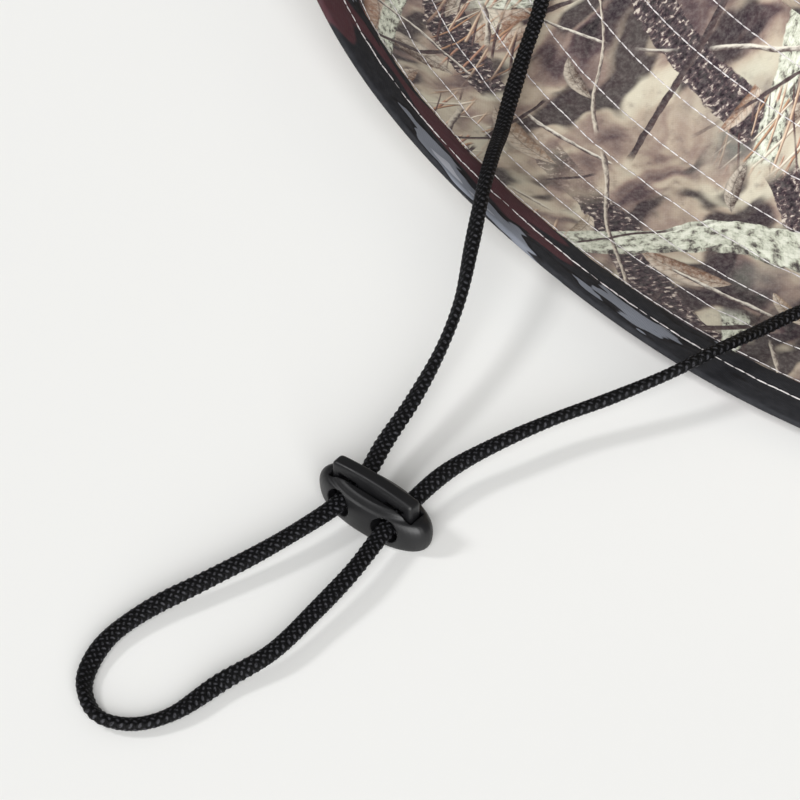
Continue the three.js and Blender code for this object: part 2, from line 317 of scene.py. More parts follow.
def cordMaterial(look):
    material, tree, shader = newMaterial("blackCord")
    u, v = clothPlace(tree)
    turn = u / 1000 * look["carriers"]  # u / 1000 is a share of the way round
    rise = v / (look["lead"] * 2)
    strands = turn + rise, turn - rise
    over = ((turn * (2 * math.pi)).math("COSINE") + (rise * (2 * math.pi)).math("COSINE")) * 0.25 + 0.5
    ridge = [abs((strand * math.pi).math("COSINE")) for strand in strands]
    relief = (ridge[0] * over).most(ridge[1] * (over * -1 + 1))
    yarn = [(strand * (2 * math.pi * 4)).math("SINE") for strand in strands]  # four in a strand
    yarns = (yarn[0] + yarn[1]) * 0.1
    grain = noise(tree, combined(tree, u / 125, v), 2.2, 3.0)
    # crown: painted glints on the braid's raised crowns, broken up by grain, and painted shade in the
    # valleys between strands; the base colour runs from near black in the valleys to grey on the crowns
    crown = relief.ramped(0.52, 0.94) * grain.ramped(0.3, 0.58)
    setShader(
        shader,
        Base_Color=mixed(tree, crown, linear("#020203"), linear("#434347")),
        Roughness=0.55,
        Specular_IOR_Level=0.16,
        Normal=bump(tree, relief + yarns * 0.5 + grain * 0.3, 0.0003, 0.8),
    )
    return material


def cordTwist(far, look):  # how the flat section is turned, at each run along the cord
    knots = runAlong(cordRoute)
    knots *= far[-1] / knots[-1]
    turnAt = np.interp(cordTurns[:, 0], np.arange(len(knots)), knots)
    twist = np.radians(np.interp(far, turnAt, cordTurns[:, 1]))
    blur = np.hanning(look["turnBlur"])
    twist = np.convolve(np.pad(twist, look["turnBlur"] // 2, "edge"), blur / blur.sum(), "valid")
    return twist + 0.1 * np.sin(far / 6.3)  # a cord never lies quite flat


def makeCord(look):
    line, far = smoothLine(cordRoute, look["ringStep"])
    ahead = np.gradient(line, axis=0)
    ahead /= np.linalg.norm(ahead, axis=1)[:, None]
    across = np.cross(ahead, [0, 0, 1])
    across /= np.linalg.norm(across, axis=1)[:, None]
    above = np.cross(across, ahead)
    phi = np.arange(look["sides"]) / look["sides"] * 2 * math.pi
    turn = phi[None] - cordTwist(far, look)[:, None]  # the flat section turns, the braid does not
    radius = ovalRadius(turn, look["width"] / 2, look["thick"] / 2, look["squareness"])
    around = phi[None] / (2 * math.pi) * look["carriers"]
    rise = far[:, None] / (2 * look["lead"])
    ridge = [np.abs(np.cos(math.pi * strand)) for strand in (around + rise, around - rise)]
    over = 0.5 + 0.25 * (np.cos(2 * math.pi * around) + np.cos(2 * math.pi * rise))  # lies on top
    relief = np.maximum(ridge[0] * over, ridge[1] * (1 - over))
    radius = radius * (1 + 0.02 * np.sin(far / 4.1) + 0.015 * np.sin(far / 2.3))[:, None]
    radius += look["relief"] * (relief - 1)
    ring = (np.cos(phi)[None, :, None] * across[:, None]
            + np.sin(phi)[None, :, None] * above[:, None])
    points = line[:, None] + radius[..., None] * ring
    points[..., 2] = np.maximum(points[..., 2], look["lowest"])
    share = np.arange(look["sides"] + 1) / look["sides"]
    uv = np.stack(np.meshgrid(far * mm, share, indexing="ij")[::-1], -1)
    cord = gridObject("chinCord", points * mm, uv, cordMaterial(look), wrapRows=False)
    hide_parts("chin_cord")
    return cord, line * mm


print("cord")
chinCord, cordPath = makeCord(cordLook)


# the brim

brimLook = {
    "width": 70.3,
    "thickness": 1.3,
    "valley": 36.6,  # from the seam to where it touches the surface
    "seamHeight": 15.2,
    "straightFrom": 0.6,  # share of each slope after which it runs straight
    "pressed": 0.35,
    "halfLength": 100,
    "halfWidth": 84,
    "squareness": 2.3,
    "segments": 480,
    "rows": [9.5, 17.1, 25.4, 32.9, 41, 49.1, 56.6, 64.4],  # from the edge, the first by the binding
    "groove": 0.16,
    "grooveHalf": 0.7,
    "hem": 6,  # how far from the edge the cloth ends, inside the binding
    "clear": 0.02,  # its underside is a little above where it would touch
    "lowest": 0.03,
}
brimWrinkles = [(11, 0.1, 20, 70), (12, 0.05, 80, 200)]  # seed, height, fewest and most waves round

brimSections = np.array([  # angle, lift, reach
    [-125, 17, 1.4], [-102, 11, -1.7], [-88, 7.8, -2.1], [-72, 2.9, -2.8], [-52, 3, 3],
    [-30, 5, 1.5], [0, 11, 0.2], [30, 14.5, -0.4], [60, 9, 0], [90, 4.4, -2], [120, 4, -1],
    [150, 8, 0], [180, 15, 2], [205, 19, 2.5],
])


def roundTable(table, column, angle):  # a smooth curve through a table of angles
    rows = table.copy()
    rows[:, 0] %= 360
    rows = rows[rows[:, 0].argsort()]
    at = np.r_[rows[:, 0] - 360, rows[:, 0], rows[:, 0] + 360]
    value = np.tile(rows[:, column], 3)
    slope = np.r_[0, (value[2:] - value[:-2]) / (at[2:] - at[:-2]), 0]
    angle = np.asarray(angle) % 360
    i = np.searchsorted(at, angle, side="right") - 1
    span = at[i + 1] - at[i]
    s = (angle - at[i]) / span
    return ((2 * s**3 - 3 * s**2 + 1) * value[i] + (s**3 - 2 * s**2 + s) * span * slope[i]
            + (3 * s**2 - 2 * s**3) * value[i + 1] + (s**3 - s**2) * span * slope[i + 1])


def headRadius(angle):
    b = brimLook
    return ovalRadius(np.radians(angle), b["halfWidth"], b["halfLength"], b["squareness"])


def brimHeight(angle, along):
    b = brimLook
    bend = b["straightFrom"]
    rate = 1 / (2 * bend - bend**2)

    def sweep(v):
        return np.where(v < bend, rate * v**2, rate * bend**2 + 2 * rate * bend * (v - bend))

    inner = b["seamHeight"] * sweep(1 - along / b["valley"])
    beyond = (along - b["valley"]) / (b["width"] - b["valley"])
    outer = roundTable(brimSections, 1, angle) * sweep(beyond)
    return np.maximum(np.where(along < b["valley"], inner, outer) - b["pressed"], 0)


def onBrim(angle, along, above):  # angle (n,), along (k,), above (k,) or (n, k) in mm
    b = brimLook
    step, past = 0.1, 1.5  # it is worked out in fine steps, to a little past the edge
    fine = np.arange(0, b["width"] + past, step)
    height = brimHeight(angle[:, None], fine[None])
    stretch = 1 + roundTable(brimSections, 2, angle)[:, None] / (b["width"] - b["valley"])
    run = step * np.where(fine[None, :-1] < b["valley"], 1, stretch)
    out = np.cumsum(np.sqrt(np.maximum(run**2 - np.diff(height, axis=1) ** 2, 0)), 1)
    radius = headRadius(angle)[:, None] + np.hstack([np.zeros((len(angle), 1)), out])
    place = np.clip(along, 0, fine[-2]) / step
    i, s = place.astype(int), place % 1
    z = height[:, i] * (1 - s) + height[:, i + 1] * s
    r = radius[:, i] * (1 - s) + radius[:, i + 1] * s + np.minimum(along, 0)
    slope = (height[:, i + 1] - height[:, np.maximum(i - 1, 0)]) / (2 * step)
    tilt = np.where(along <= 0, 0, np.arcsin(np.clip(slope, -1, 1)))
    r = r - above * np.sin(tilt)
    turn = np.radians(angle)[:, None]
    return np.stack([r * np.cos(turn), r * np.sin(turn), z + above * np.cos(tilt)], -1)


def rowPlaces():
    return [brimLook["width"] - inward for inward in brimLook["rows"]]


def stitchDip(angle, along):  # how far the stitching pulls the cloth in
    b = brimLook
    depth = 1 + 0.45 * ripple(5, angle[:, None] / 360, along[None], 6, 40, 110)
    dip = sum(np.exp(-(((along - row) / b["grooveHalf"]) ** 2)) for row in rowPlaces()[1:])
    return b["groove"] * depth * dip


def brimSurface(angle, along, top):
    b = brimLook
    share = angle[:, None] / 360
    fade = np.clip(along / b["hem"], 0, 1) * np.clip((b["width"] - b["hem"] - along) / b["hem"], 0, 1)
    wrinkle = fade * sum(
        high * ripple(seed, share, along[None], 9, fewest, most)
        for seed, high, fewest, most in brimWrinkles)
    dip = stitchDip(angle, along)
    if top:
        return onBrim(angle, along, b["thickness"] + wrinkle - dip)
    points = onBrim(angle, along, np.minimum(wrinkle, 0.1) + dip + b["clear"])
    points[..., 2] = np.maximum(points[..., 2], b["lowest"])
    return points


def makeBrim(material):
    b = brimLook
    angle = np.arange(b["segments"]) / b["segments"] * 360
    near = [-1.4, -0.75, -0.3, 0, 0.3, 0.75, 1.4, 2.8]  # columns beside each stitch row
    along = np.array([row + d for row in rowPlaces() for d in near])
    along = np.unique(np.r_[-1.8, 0, 2, along[along > 0.5], b["width"] - b["hem"]])
    faces = brimSurface(angle, along, True), brimSurface(angle, along[::-1], False)
    points = np.concatenate(faces, 1)
    brim = gridObject("brimCloth", points * mm, clothFromAbove(points), material)
    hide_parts("brim")


# the binding

tapeLook = {
    "width": 8.9,
    "over": 0.26,  # above the cloth, and below it
    "fold": 0.55,
    "stitchAt": 5.2,
    "printStep": 0.93,  # cloth run of one segment; the print is drawn out along the tape
    "printEnd": 30,  # cloth run across, where the section closes
    "black": "#1e1f23",
    "red": "#4a2c31",
    "patches": [  # from, to, colour
        (0.58, 0.585, "#131215"), (0.605, 0.611, "#757982"), (0.675, 0.68, "#a0a2aa"),
    ],
    "dust": "#6a6a70",
}


def foldPressed(inward):
    return 0.32 * np.exp(-((inward / 2.6) ** 2))


def tapeHeight(angle, inward):  # outer face above the brim's own, pulled in by its stitching
    t = tapeLook
    pull = 0.12 * np.exp(-(((inward - t["stitchAt"]) / 0.8) ** 2))
    hem = 0.12 * np.exp(-(((inward - t["width"]) / 0.7) ** 2))
    uneven = 1 + 0.3 * ripple(21, angle[:, None] / 360, inward[None] * 0, 6, 60, 160)
    return -(pull + hem + foldPressed(inward)) * uneven


def makeBinding(material):
    b, t = brimLook, tapeLook
    angle = np.arange(b["segments"]) / b["segments"] * 360
    over, under = b["thickness"] + t["over"], -t["over"]
    flat = t["width"] - np.array([0, 0.15, 0.6, 1.4, 2.4, 3.1, 3.7, 4.3, 5, 6.2, 7.2])
    count, tuck = len(flat), 0.1  # tuck: the strip's inner side is this far inside it
    turn = np.radians(np.linspace(90, 270, 9))
    middle, half = (over + under) / 2, (over - under) / 2
    bend = t["fold"] * (1 + np.cos(turn))  # the rounded fold at the edge
    inward = np.r_[flat, bend, flat[::-1], flat[0] - tuck, flat[0] - tuck]
    folded = middle + (half - foldPressed(bend)) * np.sin(turn)
    above = np.r_[np.full(count, over), folded, np.full(count, under), -tuck, b["thickness"] + tuck]
    press = tapeHeight(angle, flat)
    lift = 0.07 * ripple(22, angle[:, None] / 360, inward[None], 7, 50, 140)
    lift[:, :count] += press
    lift[:, count:] = 0  # the ripples are only on top
    lift[:, count + len(turn) : -2] = -press[:, ::-1]
    points = onBrim(angle, b["width"] - inward, above[None] + lift)
    points[..., 2] = np.maximum(points[..., 2], b["lowest"])
    around = np.arange(b["segments"] + 1) * t["printStep"]
    uv = clothGrid(around, np.r_[runAlong(points[0]), t["printEnd"]])
    tape = gridObject("brimTape", points * mm, uv, material)
    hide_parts("brim_binding")


# the crown

crownLook = {
    "foot": 16.65,
    "height": 86,
    "taper": 0.05,
    "shoulder": 3.5,
    "bulge": 2,
    "dome": 9,
    "sag": 3,
    "sagTurn": 35,
    "wall": 2,
    "topThickness": 1.8,
    "topRadius": 85,
    "dentHeight": 0.26,
    "segments": 420,
    "backSeam": 90,
    "seamHalf": 0.45,  # in degrees
    "seamDepth": 0.45,
    "seamStitch": 1.15,  # degrees from the back seam to the stitch row beside it
    "gathered": 6,  # how far the seams at top and foot gather the cloth
    "lowest": -0.008,  # where the side's cloth starts, as a share of its height
    "stitchedAt": (0.023, 0.977),  # the side's stitch rows, as shares of its height
    "topStitchedAt": 0.972,
    "printRound": 580,  # cloth run of the whole side
    "printFrom": 500,
    "topPrintFrom": (0.31, 0.07),  # in metres
}
crownDents = [  # angle, level, half width, depth
    (-60, 0.66, 24, 6), (35, 0.5, 20, 4.5), (118, 0.62, 26, 7), (200, 0.56, 22, 5),
]
seamWaves = [(2, 2.2, 20), (3, 1.5, 75)]  # times round, height, start


def angleFrom(angle, at):  # degrees from one direction to another, -180 to 180
    return (angle - at + 180) % 360 - 180


def onCrownSide(angle, share, inward):
    c = crownLook
    wave = sum(high * np.sin(np.radians(times * angle + start)) for times, high, start in seamWaves)
    dent = sum(
        deep * np.exp(-(angleFrom(angle, at) / wide) ** 2 - ((share - level) / c["dentHeight"]) ** 2)
        for at, level, wide, deep in crownDents)
    radius = (headRadius(angle) * (1 - c["taper"] * share) - c["shoulder"] * share**8
              + c["bulge"] * np.sin(math.pi * share)
              - dent * np.clip(share / c["dentHeight"], 0, 1))
    turn, r = np.radians(angle), radius - inward
    z = c["foot"] + (c["height"] + wave) * share
    return np.stack(np.broadcast_arrays(r * np.cos(turn), r * np.sin(turn), z), -1)


def sideWrinkle(angle, share):  # outward
    c = crownLook
    turn, height = angle / 360, share * c["height"]
    top = np.exp(-(1 - share) * c["height"] / c["gathered"])
    foot = np.exp(-share * c["height"] / c["gathered"])
    back = np.exp(-((angleFrom(angle, c["backSeam"]) / c["seamHalf"]) ** 2))
    folds = 0.55 * ripple(31, turn, height, 9, 5, 22)
    small = 0.16 * ripple(32, turn, height, 9, 22, 60)
    gathers = 0.14 * (top + 0.6 * foot) * ripple(33, turn, height, 8, 50, 120)
    fade = np.clip(share * 12, 0, 1)  # the foot stays true, where it meets the brim
    return (folds + small + gathers) * fade - c["seamDepth"] * back


def sideFace(angle, share, inward):
    return onCrownSide(angle, share, inward - sideWrinkle(angle, share))


def lineInside(piece, material, inside):  # inside: which columns of a grid face the head
    piece.data.materials.append(material)
    indices = np.tile(inside, crownLook["segments"]).astype(np.int32)
    piece.data.polygons.foreach_set("material_index", indices)


def makeCrownSide(outer, inner):
    c = crownLook
    angle = (c["backSeam"] + np.arange(c["segments"]) / c["segments"] * 360)[:, None]
    foot = [c["lowest"], 0, 0.012, 0.023, 0.035]
    out = np.r_[foot, np.linspace(0.05, 0.95, 44), 0.965, 0.977, 0.985, 0.993]  # finer at the stitches
    back = out[::-4]  # the inner face needs fewer columns
    share = np.r_[out, 0.998, 0.998, back, c["lowest"]][None]
    inward = np.r_[np.zeros(len(out)), 0.4, 1.4, np.full(len(back) + 1, c["wall"])][None]
    points = sideFace(angle, share, inward)
    around = np.arange(c["segments"] + 1) / c["segments"] * c["printRound"] + c["printFrom"]
    uv = clothGrid(around, np.r_[share[0], share[0, 0]] * c["height"])
    side = gridObject("crownSide", points * mm, uv, outer)
    column = np.arange(share.size)
    lineInside(side, inner, (column > len(out) + 1) & (column < share.size - 1))
    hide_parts("crown_side")


def onCrownTop(angle, share, above):
    c = crownLook
    rim = onCrownSide(angle, np.ones_like(share * angle), 0)
    level = c["foot"] + c["height"]
    sag = c["sag"] * np.cos(np.radians(2 * angle + c["sagTurn"])) * share**2
    z = level + (rim[..., 2] - level) * share**3 + (c["dome"] + sag) * (1 - share**2) + above
    return np.stack([rim[..., 0] * share, rim[..., 1] * share, z], -1)


def topFace(angle, share, above):
    radius = crownLook["topRadius"]
    x, y = (share * radius * f(np.radians(angle)) for f in (np.cos, np.sin))
    seam = np.exp(-(1 - share) * radius / 5)
    bumps = 0.5 * np.sin(x / 13 + y / 21 + 1) * np.sin(y / 15 - x / 30)
    bumps = (bumps + 0.16 * np.sin(x / 5.1 - y / 6.3)) * (1 - share**6)
    gathers = 0.13 * seam * ripple(41, angle / 360, share * 0, 8, 50, 110)
    return onCrownTop(angle, share, above + (bumps + gathers))


def makeCrownTop(outer, inner):
    c = crownLook
    angle = (np.arange(c["segments"]) / c["segments"] * 360)[:, None]
    over = np.r_[0.004, np.linspace(0.03, 0.94, 46), 0.955, 0.965, 0.972, 0.98, 0.988, 0.994]
    edge = np.array([(1.0, 1.5), (1.003, 0.9), (1.0, 0.3), (0.994, 0.02)])  # share, above
    under = over[:-4][::-4]  # the inner face needs fewer columns
    share = np.r_[over, edge[:, 0], under, 0.004][None]
    top = np.full(len(over), c["topThickness"])
    above = np.r_[top, edge[:, 1], np.zeros(len(under) + 1)][None]
    points = topFace(angle, share, above)
    uv = clothFromAbove(points, c["topPrintFrom"])
    top = gridObject("crownTop", points * mm, uv, outer, flip=False)
    lineInside(top, inner, np.arange(share.size) >= len(over) + 3)
    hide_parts("crown_top")


# all the stitching

threadLook = {
    "pitch": 2,
    "length": 2,
    "width": 0.23,
    "tapeWidth": 0.31,
    "high": 0.14,
    "sunk": 0.1,  # how far its sides reach into the cloth
    "lowest": 0.02,
}
stitchShape = np.array([  # shares of its length, height and width, at five stations
    [-0.5, 0.25, 0.5], [-0.33, 0.85, 0.9], [0, 1, 1], [0.33, 0.85, 0.9], [0.5, 0.25, 0.5],
])


def stitchRow(points, normals, closed=True, width=threadLook["width"]):
    look = threadLook
    if closed:
        points, normals = (np.vstack([part, part[:1]]) for part in (points, normals))
    run = runAlong(points)
    count = int(run[-1] / look["pitch"])
    random = np.random.default_rng(count)
    middle = (np.arange(count) + 0.5 + random.normal(0, 0.03, count)) * run[-1] / count
    stations, high, wide = stitchShape.T
    at = np.clip(middle[:, None] + stations * look["length"], 0, run[-1])
    centre, up = placeAt(at, run, points), placeAt(at, run, normals)
    ahead = centre[:, -1:] - centre[:, :1]
    ahead = ahead / np.linalg.norm(ahead, axis=-1, keepdims=True)
    side = np.cross(up, ahead)
    aslant = random.normal(0, 0.06, (count, 1, 1)) * stations[None, :, None]
    centre = centre + side * aslant
    rise = high[None, :, None] * look["high"]
    half = side * (wide[None, :, None] * width / 2)
    low = up * (rise - look["sunk"])
    return np.stack([centre - half + low, centre + up * rise, centre + half + low], 2)


def makeStitching(material):
    b, t, c = brimLook, tapeLook, crownLook
    count = 2 * b["segments"]
    angle = np.arange(count) / count * 360
    turn = angle[:, None]
    rows = []

    def addRow(face, closed=True):  # face: gives its points at a height
        points = face(0)
        rows.append(stitchRow(points, face(1) - points, closed))

    for along in rowPlaces():
        row = np.array([along])
        up = (onBrim(angle, row, 1.0) - onBrim(angle, row, 0.0))[:, 0]
        rows.append(stitchRow(brimSurface(angle, row, True)[:, 0], up))
        if along != rowPlaces()[0]:  # the first row's underside is inside the binding
            rows.append(stitchRow(brimSurface(angle, row, False)[:, 0], -up))
    inward = np.array([t["stitchAt"]])
    row = b["width"] - inward
    press = tapeHeight(angle, inward)
    up = (onBrim(angle, row, 1.0) - onBrim(angle, row, 0.0))[:, 0]
    for above, facing in ((b["thickness"] + t["over"] + press, up), (-t["over"] - press, -up)):
        points = onBrim(angle, row, above)[:, 0]
        rows.append(stitchRow(points, facing, width=threadLook["tapeWidth"]))
    for share in c["stitchedAt"]:
        addRow(lambda above: sideFace(turn, np.array([[share]]), -above)[:, 0])
    share = np.array([[c["topStitchedAt"]]])
    addRow(lambda above: topFace(turn, share, c["topThickness"] + above)[:, 0])
    upward = np.linspace(0.03, 0.97, 200)[:, None]
    beside = np.array([[c["backSeam"] + c["seamStitch"]]])
    addRow(lambda above: sideFace(beside, upward, -above)[:, 0], False)
    parts = np.concatenate(rows)
    parts[..., 2] = np.maximum(parts[..., 2], threadLook["lowest"])
    stations, across = parts.shape[1:3]
    first = np.arange(len(parts))[:, None, None] * stations * across
    i, j = np.meshgrid(range(stations - 1), range(across - 1), indexing="ij")
    corner = (first + i * across + j)[..., None] + np.array([0, across, across + 1, 1])
    mesh = bpy.data.meshes.new("stitching")
    mesh.from_pydata((parts.reshape(-1, 3) * mm).tolist(), [], corner.reshape(-1, 4).tolist())
    link(bpy.data.objects.new("stitching", mesh), material)


# the cord lock

lockLook = {
    "place": (23.4, -212.6, 0),
    "turn": 7,
    "halfLength": 10.5,
    "halfDepth": 4.1,
    "squareness": 2.1,
    "height": 6.6,
    "sides": 96,
    "holeAt": 4.45,
    "holeWidth": 4.6,
    "holeBottom": 1.4,
    "holeTop": 5.4,
    "bridgeHalf": 1.1,
    "bridgeTop": 0.9,
    "gap": 0.3,  # between its well and the bar
    "voxel": 0.11,
    "smoothing": 8,
}
lockRings = [  # height, share of the half length and half depth
    (0, 0.84), (0.7, 0.95), (2.6, 1), (4.3, 0.98), (5.35, 0.89), (5.7, 0.77), (6.25, 0.7), (6.6, 0.6),
]
buttonLook = {
    "halfLength": 7.8,
    "depth": 2.4,
    "bottom": 1.6,
    "endTop": 8.3,
    "middleTop": 8.9,
    "window": (2.6, 6.3, 2.4, 6.7),  # inner, outer, bottom, top
    "notchHalf": 1.4,
    "notchTop": 5.6,
    "rounding": 0.75,
    "smoothing": 6,
}


def meshObject(name, points, faces):
    mesh = bpy.data.meshes.new(name)
    mesh.from_pydata(points, [], faces)
    return bpy.data.objects.new(name, mesh)


def prism(outline, low, high):  # an (x, z) outline carried from y = low to y = high
    count = len(outline)
    points = [(x, y, z) for y in (low, high) for x, z in outline]
    faces = [list(range(count)), list(range(2 * count - 1, count - 1, -1))]
    faces += [[i, i + count, (i + 1) % count + count, (i + 1) % count] for i in range(count)]
    return meshObject("prism", points, faces)


def block(left, right, low, high, halfDepth):
    return prism([(left, low), (right, low), (right, high), (left, high)], -halfDepth, halfDepth)


def roundSlot(middle, width, low, high, steps=12):  # an outline with round ends
    radius = (high - low) / 2
    straight = width / 2 - radius
    turns = [(way, math.pi * (i / steps - way / 2)) for way in (1, -1) for i in range(steps + 1)]
    return [
        (middle + way * straight + radius * math.cos(turn), low + radius * (1 + math.sin(turn)))
        for way, turn in turns
    ]


def moulded(name, base, tools, look, body, material, node):
    for obj in (base, *tools):
        bpy.context.scene.collection.objects.link(obj)
    if "rounding" in look:
        change = base.modifiers.new("round", "BEVEL")
        change.width, change.segments, change.angle_limit = look["rounding"], 5, math.radians(40)
    for tool in tools:
        change = base.modifiers.new("cut", "BOOLEAN")
        change.operation, change.solver, change.object = "DIFFERENCE", "EXACT", tool
    change = base.modifiers.new("even", "REMESH")
    change.mode, change.voxel_size = "VOXEL", lockLook["voxel"]
    change = base.modifiers.new("soft", "SMOOTH")
    change.factor, change.iterations = 0.5, look["smoothing"]
    finished = base.evaluated_get(bpy.context.evaluated_depsgraph_get())
    shape = bpy.data.meshes.new_from_object(finished)
    for obj in (base, *tools):
        bpy.data.objects.remove(obj)
    turn = Matrix.Rotation(math.radians(lockLook["turn"]), 4, "Z")
    shape.transform(Matrix.Scale(mm, 4) @ (Matrix.Translation(Vector(lockLook["place"])) @ turn))
    shape.name = name
    made = link(bpy.data.objects.new(name, shape), material, body)
    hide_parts(node)
    return made


def lockShell():
    k = lockLook
    unit = 10  # makes the shares about millimetres, so that the rings are evenly spaced
    rings = smoothLine(np.array([(share * unit, high, 0) for high, share in lockRings]), 0.4)[0]
    count = k["sides"]
    angle = np.arange(count) / count * 2 * math.pi
    radius = ovalRadius(angle, k["halfLength"], k["halfDepth"], k["squareness"])
    points = [
        (r * share / unit * math.cos(a), r * share / unit * math.sin(a), high)
        for share, high, _ in rings for r, a in zip(radius, angle)
    ]
    last = (len(rings) - 1) * count
    faces = []
    for ring in range(0, last, count):
        pairs = [(ring + i, ring + (i + 1) % count) for i in range(count)]
        faces += [[here, beside, beside + count, here + count] for here, beside in pairs]
    faces += [list(range(count))[::-1], [last + i for i in range(count)]]
    return meshObject("lockShell", points, faces)


def makeLock(material):
    k, b = lockLook, buttonLook
    halfX, halfY = b["halfLength"] + k["gap"], b["depth"] / 2 + k["gap"]
    tools = [block(-halfX, halfX, k["bridgeTop"], k["height"] + 1, halfY)]  # the bar's well
    for side in (-1, 1):
        inner, outer = sorted((side * k["bridgeHalf"], side * halfX))
        tools.append(block(inner, outer, -1, k["bridgeTop"] + 0.5, halfY))  # open below, but for a bridge
        hole = roundSlot(side * k["holeAt"], k["holeWidth"], k["holeBottom"], k["holeTop"])
        tools.append(prism(hole, -6, 6))  # right through the body
    body = moulded("lockShellVisual", lockShell(), tools, k, "hat", material, "lock_body")
    foot = [(-b["halfLength"], b["bottom"]), (b["halfLength"], b["bottom"])]
    arch = [
        (x, b["middleTop"] + (b["endTop"] - b["middleTop"]) * (x / b["halfLength"]) ** 2)
        for x in np.linspace(b["halfLength"], -b["halfLength"], 25)
    ]
    bar = prism([*foot, *arch], -b["depth"] / 2, b["depth"] / 2)
    inner, outer, low, high = b["window"]
    cuts = [block(-b["notchHalf"], b["notchHalf"], 0, b["notchTop"], 3)]  # straddles the bridge
    cuts += [block(*sorted((side * inner, side * outer)), low, high, 3) for side in (-1, 1)]
    button = moulded("lockBar", bar, cuts, b, "button", material, "lock_button")
    return body, button


# the printed cloth

printLook = {
    "ground": [
        (0.29, "#20161c"), (0.37, "#534144"), (0.45, "#8f7b71"), (0.53, "#b8a996"), (0.63, "#cbc4b0"),
    ],
    "shade": "#2a1e26",
    "cool": "#a9aea0",
    "mottle": "#4b3a3e",
    "darkBark": [(0.38, "#1b1219"), (0.52, "#33262e"), (0.62, "#5d4c4d"), (0.7, "#c9beb2")],
    "leaf": [
        (0.0, "#2f2227"), (0.22, "#54433c"), (0.42, "#7f5f4b"), (0.6, "#9a725c"), (0.76, "#8f8a78"),
        (0.92, "#c2bba9"),
    ],
    "leafLight": "#dcd1c0",
    "leafDark": "#261b20",
    "paleBark": [(0.3, "#322c2d"), (0.38, "#7d7b71"), (0.47, "#c0c4b2"), (0.6, "#e1e3d4")],
    "twigShade": "#4a3a3a",
    "dust": "#e6dfd6",
    "faded": "#b9ab98",
}
darkStem = {
    "turn": 72, "seed": 3.0, "spacing": 26, "half": 2.3,
    "wander": 26, "rough": 0.7, "soft": 0.16, "run": 40, "shown": 0.4,
}
paleStem = {"wander": 34, "rough": 0.8, "soft": 0.16, "run": 60, "shown": 0.4}
paleStems = [
    {"turn": -38, "seed": 11.0, "spacing": 47, "half": 2.3},
    {"turn": 34, "seed": 74.0, "spacing": 61, "half": 1.6},
]
leafLayers = [
    {"size": 19, "seed": 1.5, "slim": 0.14, "few": 0.5},
    {"size": 12, "seed": 8.5, "slim": 0.12, "few": 0.62},
]
needle = {
    "spacing": 3.1, "half": 0.2, "wander": 13, "rough": 0.5, "soft": 0.09, "run": 12, "shown": 0.47,
}
needles = [  # turn, light side, dark side
    (20, "#c4957c", "#6d4a3f"), (4, "#b98e6e", "#5d4337"), (-8, "#e8dfcd", "#8d7c6c"),
    (41, "#5c4240", "#3a2a2e"), (29, "#d9bfa4", "#7a5a4c"),
]
twig = {
    "spacing": 21, "half": 0.46, "wander": 24, "rough": 1.6, "soft": 0.1, "run": 24, "shown": 0.48,
}
twigs = [  # turn, seed, colour
    (-75, 21.0, "#e0dacd"), (15, 33.0, "#33262b"), (50, 45.0, "#d2c8b8"), (-20, 57.0, "#3c2d31"),
]


def stems(tree, x, y, look):  # a family of long bands: its cover, the place across and along it
    angle, seed = math.radians(look["turn"]), look["seed"]
    along = y * math.cos(angle) - x * math.sin(angle)
    wander = flatNoise(tree, x / 55 + seed, y / 55, 1.5) - 0.5
    t = (x * math.cos(angle) + y * math.sin(angle) + wander * look["wander"]) / look["spacing"]
    cell = (t + 0.5).math("FLOOR")
    shift = (chance(tree, cell + seed) - 0.5) * 0.55
    across = (t - cell - shift) * look["spacing"]
    rough = flatNoise(tree, along / 3 + seed, across, 3.0) - 0.5
    width = chance(tree, cell + seed + 5.3) * 0.9 + 0.55
    half = width * look["half"] * (rough * look["rough"] + 1)
    cover = (half - abs(across)).ramped(-look["soft"], look["soft"])
    shown = flatNoise(tree, along / look["run"], cell * 7.7 + seed, 1.0)
    return cover * shown.ramped(look["shown"], look["shown"] + 0.03), across / half, along


def leaves(tree, x, y, look):  # scattered leaves: cover, place across, veins, a chance for each
    place = combined(tree, x / look["size"] + look["seed"], y / look["size"])
    sockets = {"Vector": place, "Scale": 1, "Randomness": 0.75}
    cells = nodeIn(tree, "TexVoronoi", sockets, voronoi_dimensions="2D")
    away = nodeIn(tree, "VectorMath", {0: place, 1: flow(cells, 2)}, operation="SUBTRACT")
    parts = nodeIn(tree, "SeparateXYZ", {"Vector": flow(away)})
    tones = nodeIn(tree, "SeparateColor", {"Color": flow(cells, 1)})
    turn = flow(tones, 0) * (2 * math.pi)
    c, s = turn.math("COSINE"), turn.math("SINE")
    u, v = flow(parts, 0) * c + flow(parts, 1) * s, flow(parts, 1) * c - flow(parts, 0) * s
    bow = u * u * 0.5 + v
    limit = (u * u * -5.2 + 1.0) * look["slim"]
    ragged = flatNoise(tree, x / 1.4, y / 1.4) - 0.5
    cover = (limit - abs(bow) + ragged * 0.03).ramped(0, 0.02)
    cover = cover * flow(tones, 1).ramped(look["few"], look["few"] + 0.01)
    side = (abs(bow) * 60 - u * 75).math("SINE").ramped(0.55, 0.95) * 0.5
    veins = side.most(abs(bow).ramped(0.012, 0.0))
    return cover, bow / look["slim"], veins, flow(tones, 2)


